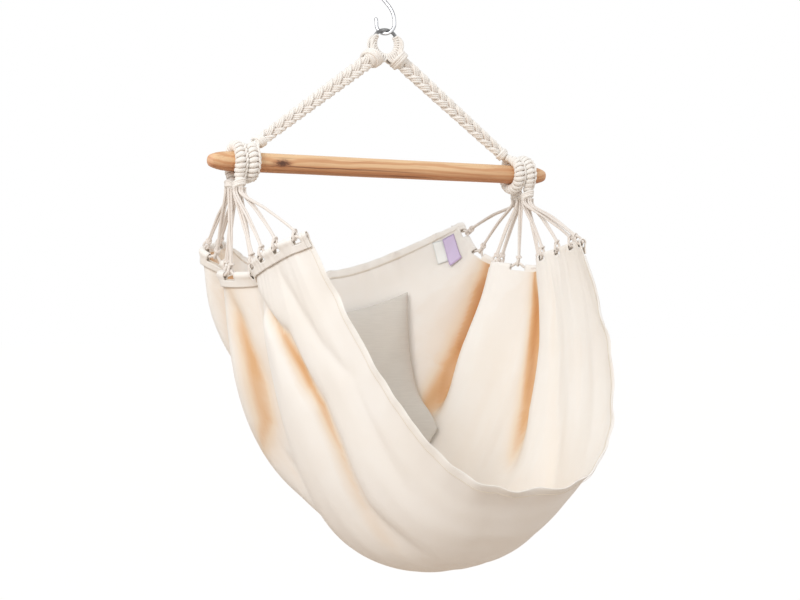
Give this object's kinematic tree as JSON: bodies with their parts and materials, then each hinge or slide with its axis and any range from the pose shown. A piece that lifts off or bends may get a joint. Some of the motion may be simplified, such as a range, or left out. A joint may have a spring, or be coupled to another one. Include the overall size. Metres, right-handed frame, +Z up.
{
  "type": "hammock chair",
  "caption": "Hanging cotton hammock chair: a sling seat on cord fans, a wooden spreader bar, plaited suspension ropes, a steel ring, an S-hook and a loose cushion.",
  "frame": {"origin": "the point inside the upper bend of the S-hook that bears on the hook or eye above it", "axes": "+Z up, towards what holds the chair; +X along the spreader bar, to the right of someone facing the chair; -Y the open front of the seat"},
  "size_m": [0.8, 0.6959, 1.2417],
  "materials": {
    "zinc_plate": "bright zinc plate",
    "ring_steel": "dull welded steel",
    "bar_wood": "smooth oiled pale hardwood",
    "cotton_rope": "unbleached cotton cord",
    "sling_canvas": "unbleached cotton canvas",
    "cushion_linen": "greyish beige linen weave"
  },
  "bodies": {
    "hook": {"s_hook": "zinc_plate"},
    "ring": {"hanging_ring": "ring_steel"},
    "suspension": {"left_ring_eye": "cotton_rope", "right_ring_eye": "cotton_rope", "left_braid": "cotton_rope", "right_braid": "cotton_rope", "left_braid_collar": "cotton_rope", "right_braid_collar": "cotton_rope", "left_bar_loop": "cotton_rope", "right_bar_loop": "cotton_rope", "left_bar_loop_hitches": "cotton_rope", "right_bar_loop_hitches": "cotton_rope"},
    "bar": {"spreader_bar": "bar_wood"},
    "sling": {"left_saddle": "cotton_rope", "right_saddle": "cotton_rope", "left_saddle_hitches": "cotton_rope", "right_saddle_hitches": "cotton_rope", "left_front_fan_collar": "cotton_rope", "left_back_fan_collar": "cotton_rope", "right_front_fan_collar": "cotton_rope", "right_back_fan_collar": "cotton_rope", "left_fan_cord_01": "cotton_rope", "left_fan_cord_02": "cotton_rope", "left_fan_cord_03": "cotton_rope", "left_fan_cord_04": "cotton_rope", "left_fan_cord_05": "cotton_rope", "left_fan_cord_06": "cotton_rope", "left_fan_cord_07": "cotton_rope", "left_fan_cord_08": "cotton_rope", "left_fan_cord_09": "cotton_rope", "left_fan_cord_10": "cotton_rope", "right_fan_cord_01": "cotton_rope", "right_fan_cord_02": "cotton_rope", "right_fan_cord_03": "cotton_rope", "right_fan_cord_04": "cotton_rope", "right_fan_cord_05": "cotton_rope", "right_fan_cord_06": "cotton_rope", "right_fan_cord_07": "cotton_rope", "right_fan_cord_08": "cotton_rope", "right_fan_cord_09": "cotton_rope", "right_fan_cord_10": "cotton_rope", "left_hem_rope": "cotton_rope", "right_hem_rope": "cotton_rope", "sling": "sling_canvas"},
    "cushion": {"cushion": "cushion_linen"}
  },
  "joints": [
    {"name": "fore_aft_swing", "type": "hinge", "parent": "hook", "child": "ring", "pos_m": [0, 0, -0.12285], "axis": [1, 0, 0], "range_deg": [-30, 30]},
    {"name": "side_tilt", "type": "hinge", "parent": "ring", "child": "suspension", "pos_m": [0, 0, -0.15215], "axis": [0, 1, 0], "range_deg": [-20, 20]},
    {"name": "bar_roll", "type": "hinge", "parent": "suspension", "child": "bar", "pos_m": [0, 0, -0.41715], "axis": [1, 0, 0], "continuous": true},
    {"name": "sling_tilt", "type": "hinge", "parent": "suspension", "child": "sling", "pos_m": [0, 0, -0.41715], "axis": [1, 0, 0], "range_deg": [-30, 30]},
    {"name": "cushion_lift_out", "type": "slide", "parent": "sling", "child": "cushion", "axis": [0, -0.76, 0.65], "range_m": [0, 0.6]}
  ]
}
